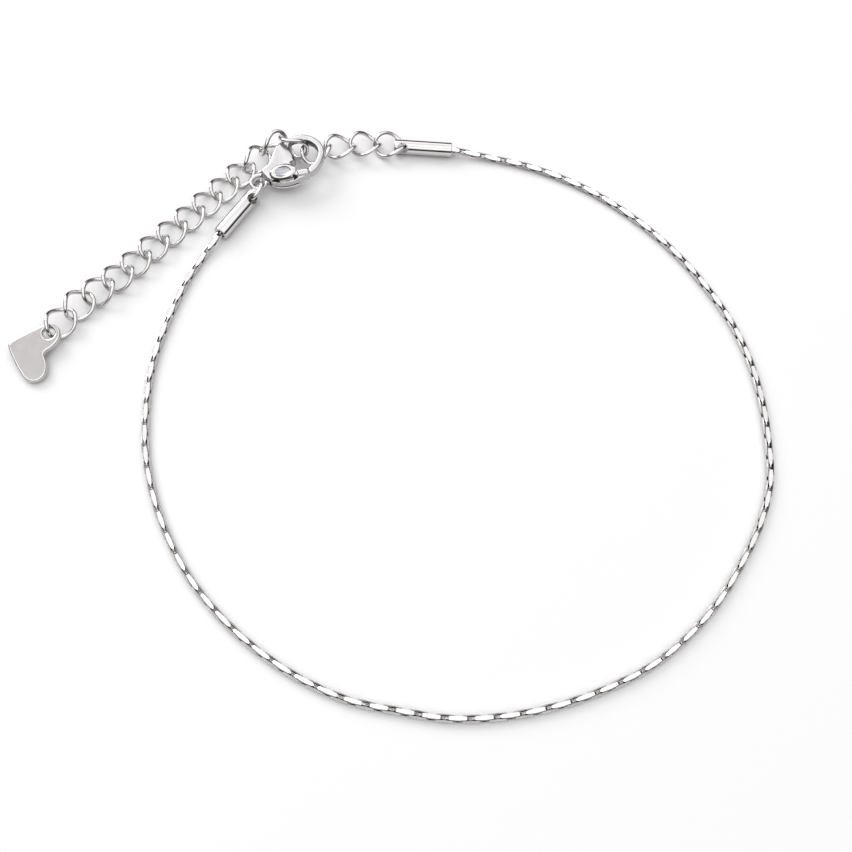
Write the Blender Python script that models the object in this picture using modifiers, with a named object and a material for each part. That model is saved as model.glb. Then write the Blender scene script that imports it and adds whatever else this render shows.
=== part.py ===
"""A steel chain anklet, laid out as it rests on a table.

A fine chain runs round the ankle between two plain end tubes. A small ring holds a lobster clasp
on the left tube. A curb extender chain starts in the right tube, passes under the clasp's arch,
is hooked by the clasp and ends in a heart tag. Units are metres and +Z is up.
"""
import math

import bmesh
import bpy
import numpy as np
from mathutils import Matrix, Vector

OBJECT_NAME = "anklet"

# Fine chain, whose solid here is a plain strand of its outer diameter
CHAIN_DIAMETER = 0.00086
CHAIN_POINTS = 78

# End tubes
TUBE_DIAMETER = 0.00186
TUBE_LENGTH = 0.0074
TUBE_BORE_DEPTH = 0.0046
TUBE_BORE_CLEARANCE = 0.00013
TUBE_HOLE_DIAMETER = 0.0014
RIGHT_HOLE_INSET = 0.0011
LEFT_HOLE_INSET = 0.0013
TUBE_EDGE_ROUNDING = 0.00012
CHAIN_END_MARGIN = 0.0006

# Extender chain
LINK_WIRE = 0.0005
LINK_LENGTH = 0.0044
LINK_WIDTH = 0.0038
LINK_PITCH = 0.003
LINK_TWIST = math.radians(-45)
LINK_COUNT = 18
LINK_SEGMENTS = 16
FIRST_LINK_SLACK = 0.00028

# Ring between the left tube and the clasp
RING_WIRE = 0.0005
RING_SEGMENTS = 20
RING_TILT = math.radians(50)
RING_PAST_HOLE = 0.0002
RING_PAST_EYE = 0.00015

# Clasp
CLASP_THICKNESS = 0.0019
CLASP_EDGE_ROUNDING = 0.0003
ARCH_THICKNESS = 0.00115
ARCH_TAPER_FROM = 0.0042
ARCH_TAPER_TO = 0.0058
CLASP_HEADING = math.radians(39)
CLASP_PITCH = math.radians(8)
EYE_RADIUS = 0.001
EYE_WIRE = 0.00056
PIVOT = (0.0017, -0.0010)
PIN_RADIUS = 0.00027
CUT_REACH = 0.0045
LEVER_HEEL = 0.0006
LEVER_THICKNESS = 0.0008
LEVER_CLEARANCE = 0.0001
GATE_THICKNESS = 0.0015
GATE_REACH = 0.0044
GATE_FROM = 0.0029
GATE_ANGLE = math.radians(-22.5)
GATE_WIDTH = 0.0008
GATE_SWING = math.radians(20)
GATE_ROOM = math.radians(14)
GATE_ROUNDING = 0.0002
LEVER_ROUNDING = 0.00008
PAD_LENGTH = 0.0034
PAD_WIDTH = 0.0021
PAD_THICKNESS = 0.00042
PAD_DISH = 0.00018
PAD_CENTRE = (0.00293, -0.00137, 0.00128)
PAD_LEAN = math.radians(12)
PAD_DISH_LENGTH = 0.0027
PAD_DISH_WIDTH = 0.0016
WEB_LENGTH = 0.0017
WEB_WIDTH = 0.00035
WEB_PLACE = (-0.0006, -0.0009)

# Heart tag
TAG_THICKNESS = 0.0008
TAG_EDGE_ROUNDING = 0.0002
TAG_HOLE_DIAMETER = 0.0014
TAG_HOLE = (0.0004, -0.0025)
TAG_HEADING = math.radians(171)
TAG_ROLL = math.radians(8)

# Places on the table
RIGHT_TUBE_HEADING = math.radians(3)
LEFT_TUBE_HEADING = math.radians(243)
LEFT_TUBE_PITCH = math.radians(2.1)
RIGHT_TUBE_END = (-0.0031, 0.0356)
LEFT_TUBE_END = (-0.0194, 0.0258, 0.0012)
CLASP_EYE = (-0.0192, 0.0272, 0.00155)
TAG_NOTCH = (-0.0397, 0.0001)

# Route of the fine chain between the tubes, clockwise from the right tube
CHAIN_ROUTE = [
    (0.0103, 0.0356), (0.0154, 0.0347), (0.0206, 0.0329), (0.0253, 0.0304), (0.0297, 0.0272),
    (0.0336, 0.0235), (0.0370, 0.0193), (0.0399, 0.0147), (0.0420, 0.0097), (0.0433, 0.0044),
    (0.0439, -0.0009), (0.0439, -0.0064), (0.0426, -0.0116), (0.0404, -0.0165), (0.0378, -0.0211),
    (0.0344, -0.0254), (0.0305, -0.0290), (0.0258, -0.0319), (0.0210, -0.0341), (0.0158, -0.0357),
    (0.0104, -0.0365), (0.0051, -0.0363), (-0.0003, -0.0357), (-0.0055, -0.0340),
    (-0.0103, -0.0315), (-0.0146, -0.0284), (-0.0185, -0.0246), (-0.0217, -0.0202),
    (-0.0242, -0.0155), (-0.0260, -0.0105), (-0.0270, -0.0052), (-0.0274, 0.0002),
    (-0.0270, 0.0054), (-0.0260, 0.0108), (-0.0247, 0.0150),
]

# Route of the extender chain from the right tube to the tag, with its height
EXTENDER_ROUTE = [
    (-0.0066, 0.0356, 0.00085), (-0.0097, 0.0350, 0.00085), (-0.0127, 0.0343, 0.00095),
    (-0.0156, 0.0336, 0.0019), (-0.0184, 0.0335, 0.0015), (-0.0204, 0.0309, 0.0009),
    (-0.0238, 0.0258, 0.00085), (-0.0272, 0.0209, 0.00085), (-0.0307, 0.0159, 0.00085),
    (-0.0340, 0.0110, 0.00085), (-0.0373, 0.0069, 0.0009), (-0.0388, 0.0043, 0.0012),
    (-0.0403, 0.0017, 0.0013),
]

# Links that lie rolled about their own length, by their number from the right tube
LINK_ROLLS = {1: -8}

# Links that the clasp or the tag holds out of the route: place, then heading, pitch and roll
LINK_PLACES = {
    2: (-0.0068, 0.03525, 0.0012, 190, 4, 0),
    3: (-0.0099, 0.0344, 0.0012, 192, 3, 1),
    4: (-0.01275, 0.03305, 0.0014, 218, 2, 11),
    5: (-0.01575, 0.03315, 0.00205, 160, 22, 78),
    6: (-0.0184, 0.0329, 0.0022, 213, -31, -110),
    7: (-0.0201, 0.0303, 0.00175, 230, 0, -58),
    15: (-0.0336, 0.0116, 0.00095, 232, 0, -4),
    16: (-0.0354, 0.0092, 0.0012, 230, -5, -10),
    17: (-0.0373, 0.0069, 0.0013, 241, 5, -33),
    18: (-0.0388, 0.0043, 0.0013, 244, 0, -23),
}

# Outline of the clasp's body seen from above: x runs from the eye to the arch
CLASP_OUTLINE = [
    (0.0009, 0.0008), (0.0021, 0.0011), (0.0032, 0.0020), (0.0042, 0.0028), (0.0052, 0.0031),
    (0.0063, 0.0031), (0.0073, 0.0029), (0.0082, 0.0024), (0.0089, 0.0015), (0.00925, 0.0004),
    (0.0092, -0.0006), (0.00875, -0.00155), (0.0079, -0.00235), (0.0069, -0.0029),
    (0.0058, -0.0031), (0.0056, -0.0027), (0.0059, -0.0022), (0.0069, -0.0020),
    (0.0077, -0.0015), (0.0083, -0.0008), (0.0084, 0.0002), (0.0081, 0.0012), (0.0075, 0.00195),
    (0.0067, 0.0024), (0.0060, 0.00235), (0.0056, 0.0016), (0.0055, 0.0005), (0.0051, -0.0007),
    (0.0048, -0.0020), (0.0046, -0.0029), (0.0040, -0.0030), (0.0030, -0.0027),
    (0.0020, -0.0022), (0.0013, -0.0015), (0.0009, -0.0008),
]

# Outer edge of the lever's plate between its heel and its gate, from the pin
LEVER_BELLY = [(0.0002, -0.0010), (0.0011, -0.0015), (0.0020, -0.0018), (0.0027, -0.0018)]

# Outline of one half of the heart tag, from its notch to its point
TAG_HALF_OUTLINE = [
    (-0.0006, 0.0009), (-0.0010, 0.0019), (-0.0009, 0.0029), (-0.0002, 0.0036), (0.0009, 0.0036),
    (0.0021, 0.0027), (0.0033, 0.0015), (0.0041, 0.0006),
]
TAG_POINT = (0.0044, 0.0)

STEEL_COLOUR = (0.78, 0.77, 0.76, 1.0)
STEEL_ROUGHNESS = 0.12


def clear_scene():
    """Remove every object that the file holds."""
    for thing in list(bpy.data.objects):
        bpy.data.objects.remove(thing, do_unlink=True)


def new_collection(name):
    """Add a collection to the scene."""
    group = bpy.data.collections.new(name)
    bpy.context.scene.collection.children.link(group)
    return group


def new_steel(name):
    """Make a polished steel material."""
    steel = bpy.data.materials.new(name)
    steel.use_nodes = True
    shader = steel.node_tree.nodes["Principled BSDF"]
    shader.inputs["Base Color"].default_value = STEEL_COLOUR
    shader.inputs["Metallic"].default_value = 1.0
    shader.inputs["Roughness"].default_value = STEEL_ROUGHNESS
    return steel


def smooth_curve(route, count, closed=False):
    """Read count evenly spaced points from a smooth curve through the route's points."""
    points = np.array(route, dtype=float)
    if closed:
        padded = np.vstack([points[-1], points, points[0], points[1]])
    else:
        before = 2 * points[0] - points[1]
        after = 2 * points[-1] - points[-2]
        padded = np.vstack([before, points, after])
    steps = np.linspace(0, 1, 24, endpoint=False)[:, None]
    fine = []
    for p0, p1, p2, p3 in zip(padded, padded[1:], padded[2:], padded[3:]):
        fine.append(0.5 * (2 * p1 + (p2 - p0) * steps
                           + (2 * p0 - 5 * p1 + 4 * p2 - p3) * steps ** 2
                           + (3 * p1 - p0 - 3 * p2 + p3) * steps ** 3))
    fine = np.vstack(fine + [padded[-2:-1]])
    reach = np.concatenate([[0], np.cumsum(np.linalg.norm(np.diff(fine, axis=0), axis=1))])
    wanted = np.linspace(0, reach[-1], count, endpoint=not closed)
    return np.stack([np.interp(wanted, reach, axis) for axis in fine.T], axis=1)


def place_on_route(route, distances):
    """Give the point and direction at each distance along a smooth curve through the route."""
    fine = smooth_curve(route, 1600)
    reach = np.concatenate([[0], np.cumsum(np.linalg.norm(np.diff(fine, axis=0), axis=1))])
    places = []
    for distance in distances:
        here = Vector([np.interp(distance, reach, axis) for axis in fine.T])
        ahead = Vector([np.interp(distance + LINK_WIRE, reach, axis) for axis in fine.T])
        back = Vector([np.interp(distance - LINK_WIRE, reach, axis) for axis in fine.T])
        places.append((here, (ahead - back).normalized()))
    return places


def frame_along(direction, roll=0.0):
    """Make a rotation whose x axis is the direction, rolled about it from lying flat."""
    side = Vector((0, 0, 1)).cross(direction).normalized()
    flat = Matrix((direction, side, direction.cross(side))).transposed()
    return flat.to_4x4() @ Matrix.Rotation(roll, 4, "X")


def add_object(name, data, group, material=None):
    """Put new mesh or curve data in the scene as a named object."""
    thing = bpy.data.objects.new(name, data)
    group.objects.link(thing)
    if material is not None:
        data.materials.append(material)
    return thing


def wire_curve(name, points, diameter, resolution, closed):
    """Make a round wire along the points."""
    curve = bpy.data.curves.new(name, "CURVE")
    curve.dimensions = "3D"
    curve.bevel_depth = diameter / 2
    curve.bevel_resolution = resolution
    curve.use_fill_caps = not closed
    spline = curve.splines.new("POLY")
    spline.points.add(len(points) - 1)
    for slot, point in zip(spline.points, points):
        slot.co = (*point, 1.0)
    spline.use_cyclic_u = closed
    spline.use_smooth = True
    return curve


def mesh_from(thing, group):
    """Replace a curve object with the mesh that it makes, with its caps welded."""
    bpy.context.view_layer.update()
    evaluated = thing.evaluated_get(bpy.context.evaluated_depsgraph_get())
    mesh = bpy.data.meshes.new_from_object(evaluated)
    work = bmesh.new()
    work.from_mesh(mesh)
    bmesh.ops.remove_doubles(work, verts=work.verts, dist=1e-6)
    bmesh.ops.recalc_face_normals(work, faces=work.faces)
    work.to_mesh(mesh)
    work.free()
    name = thing.name
    place = thing.matrix_world.copy()
    bpy.data.objects.remove(thing, do_unlink=True)
    solid = add_object(name, mesh, group)
    solid.matrix_world = place
    return solid


def flat_piece(name, outlines, thickness, rounding, group):
    """Make a flat piece with rounded edges from closed outlines, the inner ones being holes."""
    curve = bpy.data.curves.new(name, "CURVE")
    curve.dimensions = "2D"
    curve.fill_mode = "BOTH"
    curve.extrude = thickness / 2 - rounding
    curve.bevel_depth = rounding
    curve.bevel_resolution = 2
    curve.offset = -rounding
    for outline in outlines:
        spline = curve.splines.new("POLY")
        spline.points.add(len(outline) - 1)
        for slot, (x, y) in zip(spline.points, outline):
            slot.co = (x, y, 0.0, 1.0)
        spline.use_cyclic_u = True
    return mesh_from(add_object(name, curve, group), group)


def arc(centre, radius, start, end, count):
    """Give points on an arc about a centre."""
    turns = np.linspace(start, end, count)
    return [(centre[0] + radius * math.cos(t), centre[1] + radius * math.sin(t)) for t in turns]


def round_bar(name, radius, length, group, segments=24):
    """Make a cylinder along z, centred on its origin."""
    mesh = bpy.data.meshes.new(name)
    work = bmesh.new()
    bmesh.ops.create_cone(work, cap_ends=True, segments=segments, radius1=radius, radius2=radius,
                          depth=length)
    work.to_mesh(mesh)
    work.free()
    return add_object(name, mesh, group)


def take_selected(name, group):
    """Name the primitive that was just added and move it to another collection."""
    thing = bpy.context.object
    thing.name = name
    for old_group in list(thing.users_collection):
        old_group.objects.unlink(thing)
    group.objects.link(thing)
    return thing


def use_cutter(thing, cutter, operation):
    """Join or cut a piece with another solid, which is then hidden."""
    step = thing.modifiers.new(cutter.name, "BOOLEAN")
    step.operation = operation
    step.solver = "EXACT"
    step.object = cutter
    cutter.hide_render = True
    cutter.display_type = "WIRE"
    cutter.parent = thing
    cutter.matrix_parent_inverse = Matrix.Identity(4)


def shade_round(thing, angle=math.radians(40)):
    """Shade a mesh smooth, with its sharp edges kept."""
    thing.data.shade_smooth()
    thing.data.set_sharp_from_angle(angle=angle)


def link_points():
    """Give the centre line of one extender link, an oval twisted about its length."""
    half_length = (LINK_LENGTH - LINK_WIRE) / 2
    half_width = (LINK_WIDTH - LINK_WIRE) / 2
    points = []
    for index in range(LINK_SEGMENTS):
        turn = 2 * math.pi * (index + 0.5) / LINK_SEGMENTS
        x = half_length * math.cos(turn)
        y = half_width * math.sin(turn)
        twist = LINK_TWIST * x / half_length
        points.append((x, y * math.cos(twist), y * math.sin(twist)))
    return points


def make_tube(name, matrix, hole_inset, hole_tilt, parts, cutters, steel):
    """Make an end tube: blind bore from the chain side, cross hole near the outer end at x=0."""
    tube = round_bar(name, TUBE_DIAMETER / 2, TUBE_LENGTH, parts, segments=32)
    along = Matrix.Rotation(math.pi / 2, 4, "Y")
    tube.data.transform(Matrix.Translation((TUBE_LENGTH / 2, 0, 0)) @ along)
    tube.data.materials.append(steel)
    edges = tube.modifiers.new("rounded ends", "BEVEL")
    edges.width = TUBE_EDGE_ROUNDING
    edges.segments = 2
    bore_radius = CHAIN_DIAMETER / 2 + TUBE_BORE_CLEARANCE
    bore = round_bar(name + "_bore", bore_radius, 2 * TUBE_BORE_DEPTH, cutters)
    bore.data.transform(Matrix.Translation((TUBE_LENGTH, 0, 0)) @ along)
    hole = round_bar(name + "_hole", TUBE_HOLE_DIAMETER / 2, 2 * TUBE_DIAMETER, cutters)
    lean = Matrix.Rotation(hole_tilt - math.pi / 2, 4, "X")
    hole.data.transform(Matrix.Translation((hole_inset, 0, 0)) @ lean)
    use_cutter(tube, bore, "DIFFERENCE")
    use_cutter(tube, hole, "DIFFERENCE")
    shade_round(tube)
    tube.matrix_world = matrix
    return tube


def right_tube_matrix():
    """Place the right tube, its outer end at the origin of its own frame."""
    heading = Vector((math.cos(RIGHT_TUBE_HEADING), math.sin(RIGHT_TUBE_HEADING), 0))
    return Matrix.Translation((*RIGHT_TUBE_END, TUBE_DIAMETER / 2)) @ frame_along(heading)


def left_tube_matrix():
    """Place the left tube, whose outer end the ring holds a little up."""
    flat = math.cos(LEFT_TUBE_PITCH)
    heading = Vector((flat * math.cos(LEFT_TUBE_HEADING), flat * math.sin(LEFT_TUBE_HEADING),
                      -math.sin(LEFT_TUBE_PITCH)))
    return Matrix.Translation(LEFT_TUBE_END) @ frame_along(heading)


def make_fine_chain(parts, steel):
    """Make the strand of the fine chain, its ends a little way up the tubes' bores."""
    chain_height = CHAIN_DIAMETER / 2
    deep = TUBE_LENGTH - TUBE_BORE_DEPTH + CHAIN_END_MARGIN
    inside = (deep, (deep + TUBE_LENGTH) / 2, TUBE_LENGTH)
    right = [tuple(right_tube_matrix() @ Vector((x, 0, 0))) for x in inside]
    left = [tuple(left_tube_matrix() @ Vector((x, 0, 0))) for x in reversed(inside)]
    middle = [(x, y, chain_height) for x, y in CHAIN_ROUTE]
    points = smooth_curve(right + middle + left, CHAIN_POINTS)
    points[:, 2] = np.maximum(points[:, 2], chain_height)
    return add_object("fine_chain", wire_curve("fine_chain", points, CHAIN_DIAMETER, 2, False),
                      parts, steel)


def make_extender(parts, steel):
    """Make the extender's links, the first through the right tube's cross hole."""
    hole = right_tube_matrix() @ Vector((RIGHT_HOLE_INSET, 0, 0))
    end_reach = (LINK_LENGTH - LINK_WIRE) / 2 - FIRST_LINK_SLACK
    first = hole - Vector((end_reach, 0, 0))
    curve = wire_curve("extender_link", link_points(), LINK_WIRE, 1, True)
    curve.materials.append(steel)
    distances = [LINK_PITCH * index for index in range(LINK_COUNT)]
    places = place_on_route([tuple(first)] + EXTENDER_ROUTE, distances)
    for number, (place, direction) in enumerate(places, start=1):
        link = bpy.data.objects.new(f"extender_link_{number:02d}", curve)
        parts.objects.link(link)
        roll = math.radians(LINK_ROLLS.get(number, 0))
        if number in LINK_PLACES:
            *place, heading, pitch, roll = LINK_PLACES[number]
            heading, pitch, roll = (math.radians(turn) for turn in (heading, pitch, roll))
            direction = Vector((math.cos(pitch) * math.cos(heading),
                                math.cos(pitch) * math.sin(heading), math.sin(pitch)))
        turn = frame_along(direction, roll)
        lowest = min((turn @ Vector(point)).z for point in link_points())
        place = Vector(place)
        place.z = max(place.z, LINK_WIRE / 2 - lowest)
        link.matrix_world = Matrix.Translation(place) @ turn


def clasp_matrix():
    """Place the clasp, the centre of its eye at the origin of its own frame."""
    return (Matrix.Translation(CLASP_EYE) @ Matrix.Rotation(CLASP_HEADING, 4, "Z")
            @ Matrix.Rotation(-CLASP_PITCH, 4, "Y"))


def make_ring(parts, steel):
    """Make the ring through the left tube's cross hole and the clasp's eye."""
    hole = left_tube_matrix() @ Vector((LEFT_HOLE_INSET, 0, 0))
    eye = Vector(CLASP_EYE)
    across = (eye - hole).normalized()
    start = hole - across * RING_PAST_HOLE
    end = eye + across * RING_PAST_EYE
    radius = (end - start).length / 2
    turns = [2 * math.pi * index / RING_SEGMENTS for index in range(RING_SEGMENTS)]
    points = [(radius * math.cos(t), radius * math.sin(t), 0.0) for t in turns]
    ring = add_object("clasp_ring", wire_curve("clasp_ring", points, RING_WIRE, 1, True),
                      parts, steel)
    ring.matrix_world = Matrix.Translation((start + end) / 2) @ frame_along(across, -RING_TILT)


def taper_share(x):
    """Give the share of the clasp's thickness that is left at x, which is less in its arch."""
    share = (x - ARCH_TAPER_FROM) / (ARCH_TAPER_TO - ARCH_TAPER_FROM)
    share = min(max(share, 0.0), 1.0)
    return 1 - (1 - ARCH_THICKNESS / CLASP_THICKNESS) * share * share * (3 - 2 * share)


def make_clasp_body(parts, cutters, steel):
    """Make the claw with its eye, the lever's slot and the lever's pin."""
    outline = smooth_curve(CLASP_OUTLINE, 84, closed=True)
    body = flat_piece("clasp_body", [outline], CLASP_THICKNESS, CLASP_EDGE_ROUNDING, parts)
    body.data.materials.append(steel)
    for vertex in body.data.vertices:
        vertex.co.z *= taper_share(vertex.co.x)

    bpy.ops.mesh.primitive_torus_add(major_radius=EYE_RADIUS, minor_radius=EYE_WIRE / 2,
                                     major_segments=28, minor_segments=10)
    eye = take_selected("clasp_eye", cutters)

    slot_height = LEVER_THICKNESS + 2 * LEVER_CLEARANCE
    slot_left = PIVOT[0] - LEVER_HEEL - LEVER_CLEARANCE
    slot_inner = PIVOT[1] + LEVER_HEEL + LEVER_CLEARANCE
    slot_right = PIVOT[0] + GATE_REACH - LEVER_HEEL
    slot_outline = [(slot_left, slot_inner), (slot_right, slot_inner),
                    (slot_right, -CUT_REACH), (slot_left, -CUT_REACH)]
    slot = flat_piece("lever_slot", [slot_outline], slot_height, 0.0, cutters)
    recess_inner = PIVOT[1] - PIN_RADIUS
    recess_outline = [(slot_left, recess_inner), (slot_right, recess_inner),
                      (slot_right, -CUT_REACH), (slot_left, -CUT_REACH)]
    recess = flat_piece("pad_recess", [recess_outline], CLASP_THICKNESS, 0.0, cutters)
    recess.location.z = slot_height / 2 - LEVER_CLEARANCE + CLASP_THICKNESS / 2
    reach = GATE_REACH + LEVER_CLEARANCE
    low = GATE_ANGLE - GATE_ROOM
    high = GATE_ANGLE + GATE_SWING + GATE_ROOM
    sweep_outline = (arc(PIVOT, reach, low, high, 16) + arc(PIVOT, GATE_FROM, high, low, 12))
    sweep = flat_piece("gate_sweep", [sweep_outline], 2 * CLASP_THICKNESS, 0.0, cutters)
    pin = round_bar("lever_pin", PIN_RADIUS, CLASP_THICKNESS - 2 * CLASP_EDGE_ROUNDING, cutters,
                    segments=16)
    pin.location = (*PIVOT, 0.0)
    use_cutter(body, eye, "UNION")
    use_cutter(body, slot, "DIFFERENCE")
    use_cutter(body, recess, "DIFFERENCE")
    use_cutter(body, sweep, "DIFFERENCE")
    use_cutter(body, pin, "UNION")
    shade_round(body)
    body.matrix_world = clasp_matrix()
    return body


def make_lever(parts, cutters, steel):
    """Make the clasp's lever: a plate on the pin, the gate at its end and the dished pad."""
    half_angle = GATE_WIDTH / 2 / GATE_REACH
    back = arc((0, 0), LEVER_HEEL, math.radians(75), math.radians(250), 8)
    tip = arc((0, 0), GATE_REACH, GATE_ANGLE - half_angle, GATE_ANGLE + half_angle, 4)
    plate = flat_piece("clasp_lever", [back + LEVER_BELLY + tip], LEVER_THICKNESS, LEVER_ROUNDING,
                       parts)
    plate.data.materials.append(steel)
    inner = arc((0, 0), GATE_FROM + LEVER_CLEARANCE, GATE_ANGLE + 1.5 * half_angle,
                GATE_ANGLE - 1.5 * half_angle, 4)
    gate = flat_piece("gate_block", [inner + tip], GATE_THICKNESS, GATE_ROUNDING, cutters)

    bpy.ops.mesh.primitive_uv_sphere_add(segments=28, ring_count=14, radius=0.5)
    pad = take_selected("thumb_pad", cutters)
    lean = Matrix.Rotation(GATE_ANGLE, 4, "Z") @ Matrix.Rotation(PAD_LEAN, 4, "X")
    place = Matrix.Translation(Vector(PAD_CENTRE) - Vector((*PIVOT, 0.0)))
    left, low = WEB_PLACE
    right, high = left + WEB_LENGTH, low + WEB_WIDTH
    web = flat_piece("pad_web", [[(left, low), (right, low), (right, high), (left, high)]],
                     PAD_CENTRE[2] + LEVER_THICKNESS / 4, 0.0, cutters)
    web.data.transform(place @ Matrix.Rotation(GATE_ANGLE, 4, "Z")
                       @ Matrix.Translation((0, 0, -PAD_CENTRE[2] / 2)))
    pad.data.transform(place @ lean @ Matrix.Diagonal((PAD_LENGTH, PAD_WIDTH, PAD_THICKNESS, 1)))
    bpy.ops.mesh.primitive_uv_sphere_add(segments=28, ring_count=14, radius=0.5)
    dish = take_selected("pad_dish", cutters)
    sink = Matrix.Translation((0, 0, PAD_THICKNESS / 2))
    dish_size = Matrix.Diagonal((PAD_DISH_LENGTH, PAD_DISH_WIDTH, 2 * PAD_DISH, 1))
    dish.data.transform(place @ lean @ sink @ dish_size)
    hole = round_bar("pin_hole", PIN_RADIUS + LEVER_CLEARANCE, CLASP_THICKNESS, cutters,
                     segments=16)
    use_cutter(plate, gate, "UNION")
    use_cutter(plate, web, "UNION")
    use_cutter(plate, pad, "UNION")
    use_cutter(plate, dish, "DIFFERENCE")
    use_cutter(plate, hole, "DIFFERENCE")
    shade_round(plate)
    axis = bpy.data.objects.new("lever_axis", None)
    parts.objects.link(axis)
    axis.matrix_world = clasp_matrix() @ Matrix.Translation((*PIVOT, 0.0))
    plate.parent = axis
    return axis


def make_tag(parts, steel):
    """Make the heart tag, leaning on the last link that passes through its hole."""
    upper = [(x, y) for x, y in reversed(TAG_HALF_OUTLINE)]
    lower = [(x, -y) for x, y in TAG_HALF_OUTLINE]
    notch = (0.0, 0.0)
    outline = smooth_curve([TAG_POINT] + upper + [notch] + lower, 72, closed=True)
    hole = arc(TAG_HOLE, TAG_HOLE_DIAMETER / 2, 0, 2 * math.pi * 23 / 24, 24)
    tag = flat_piece("heart_tag", [outline, hole], TAG_THICKNESS, TAG_EDGE_ROUNDING, parts)
    tag.data.materials.append(steel)
    shade_round(tag)
    half_width = max(y for x, y in TAG_HALF_OUTLINE)
    height = half_width * math.sin(TAG_ROLL) + TAG_THICKNESS / 2 * math.cos(TAG_ROLL)
    tag.matrix_world = (Matrix.Translation((*TAG_NOTCH, height))
                        @ Matrix.Rotation(TAG_HEADING, 4, "Z")
                        @ Matrix.Rotation(-TAG_ROLL, 4, "X"))
    return tag


def centre_on_origin(parts):
    """Hang everything on one empty, and move that so the box stands centred on the origin."""
    root = bpy.data.objects.new("anklet_root", None)
    parts.objects.link(root)
    for thing in parts.objects:
        if thing is not root and thing.parent is None:
            place = thing.matrix_world.copy()
            thing.parent = root
            thing.matrix_world = place
    bpy.context.view_layer.update()
    graph = bpy.context.evaluated_depsgraph_get()
    corners = []
    for thing in parts.objects:
        if thing.type != "EMPTY":
            mesh = thing.evaluated_get(graph).to_mesh()
            corners += [thing.matrix_world @ vertex.co for vertex in mesh.vertices]
    corners = np.array([tuple(corner) for corner in corners])
    low, high = corners.min(axis=0), corners.max(axis=0)
    root.location = (-(low[0] + high[0]) / 2, -(low[1] + high[1]) / 2, -low[2])


def main():
    """Build the anklet."""
    clear_scene()
    parts = new_collection(OBJECT_NAME)
    cutters = new_collection(OBJECT_NAME + "_cutters")
    chain_steel = new_steel("chain_steel")
    extender_steel = new_steel("extender_steel")
    clasp_steel = new_steel("clasp_steel")
    tag_steel = new_steel("tag_steel")
    first_hole_tilt = LINK_TWIST - math.radians(LINK_ROLLS[1])
    make_tube("end_tube_right", right_tube_matrix(), RIGHT_HOLE_INSET, first_hole_tilt, parts,
              cutters, chain_steel)
    make_tube("end_tube_left", left_tube_matrix(), LEFT_HOLE_INSET, RING_TILT, parts, cutters,
              chain_steel)
    make_fine_chain(parts, chain_steel)
    make_extender(parts, extender_steel)
    make_ring(parts, clasp_steel)
    make_clasp_body(parts, cutters, clasp_steel)
    make_lever(parts, cutters, clasp_steel)
    make_tag(parts, tag_steel)
    centre_on_origin(parts)


main()
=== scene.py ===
"""A polished steel anklet on a white table, made as a Blender add-on that runs as a script."""
import math

import bmesh
import bpy
import numpy as np
from mathutils import Matrix, Vector


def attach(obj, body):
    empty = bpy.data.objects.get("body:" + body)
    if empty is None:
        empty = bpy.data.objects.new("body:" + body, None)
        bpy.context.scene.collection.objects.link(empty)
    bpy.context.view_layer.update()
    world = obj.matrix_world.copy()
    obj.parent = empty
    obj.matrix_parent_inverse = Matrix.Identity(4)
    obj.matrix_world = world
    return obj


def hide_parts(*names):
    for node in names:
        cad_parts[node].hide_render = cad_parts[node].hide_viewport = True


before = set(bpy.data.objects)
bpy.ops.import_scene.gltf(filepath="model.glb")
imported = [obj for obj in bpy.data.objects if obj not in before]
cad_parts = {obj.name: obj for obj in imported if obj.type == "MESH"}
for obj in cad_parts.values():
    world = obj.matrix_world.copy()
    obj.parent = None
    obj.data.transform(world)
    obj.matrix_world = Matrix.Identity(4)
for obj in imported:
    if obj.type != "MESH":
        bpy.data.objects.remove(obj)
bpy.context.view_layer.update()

bl_info = {
    "name": "Chain anklet",
    "version": (1, 0, 0),
    "blender": (4, 5, 0),
    "location": "View3D > Sidebar > Anklet",
    "description": "Models a steel anklet with a lobster clasp, an extender chain and a heart tag",
    "category": "Object",
}

# A millimetre in metres
MM = 0.001

# Where the solids' own layout stands in the frame
SHIFT = Vector((-0.000196, -0.000292, 0.000056))

# Vertices this near to each other are one
MERGE_DISTANCE = 1e-7

# An edge whose ends differ less than this in height lies level
LEVEL_DISTANCE = 1e-9

# Samples of a smooth curve between two points of its route, and along the whole of it
ROUTE_STEPS = 24
ROUTE_SAMPLES = 1600

# The end tubes, each with a blind bore for the chain and a cross hole for a link or the ring
TUBE_DIAMETER = 0.00186
TUBE_LENGTH = 0.0074
TUBE_ROUNDING = 0.00012
TUBE_BORE_DIAMETER = 0.00112
TUBE_BORE_DEPTH = 0.0046
TUBE_HOLE_DIAMETER = 0.0014
RIGHT_HOLE_INSET = 0.0011
LEFT_HOLE_INSET = 0.0013
RIGHT_TUBE_END = Vector((-0.0031, 0.0356, 0.00093))
LEFT_TUBE_END = Vector((-0.0194, 0.0258, 0.0012))
RIGHT_TUBE_HEADING = math.radians(3)
LEFT_TUBE_HEADING = math.radians(243)
LEFT_TUBE_PITCH = math.radians(-2.1)
RIGHT_HOLE_TILT = math.radians(-37)
BAR_SIDES = 72
ROUNDING_STEPS = 4

# The ring, with its centre line's slack past the middle of the tube's hole and of the clasp's eye
RING_WIRE = 0.0005
RING_TILT = math.radians(50)
RING_SLACK_IN_TUBE = 0.0002
RING_SLACK_IN_EYE = 0.00015
RING_SIDES = 16
RING_STEPS = 64

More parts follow.
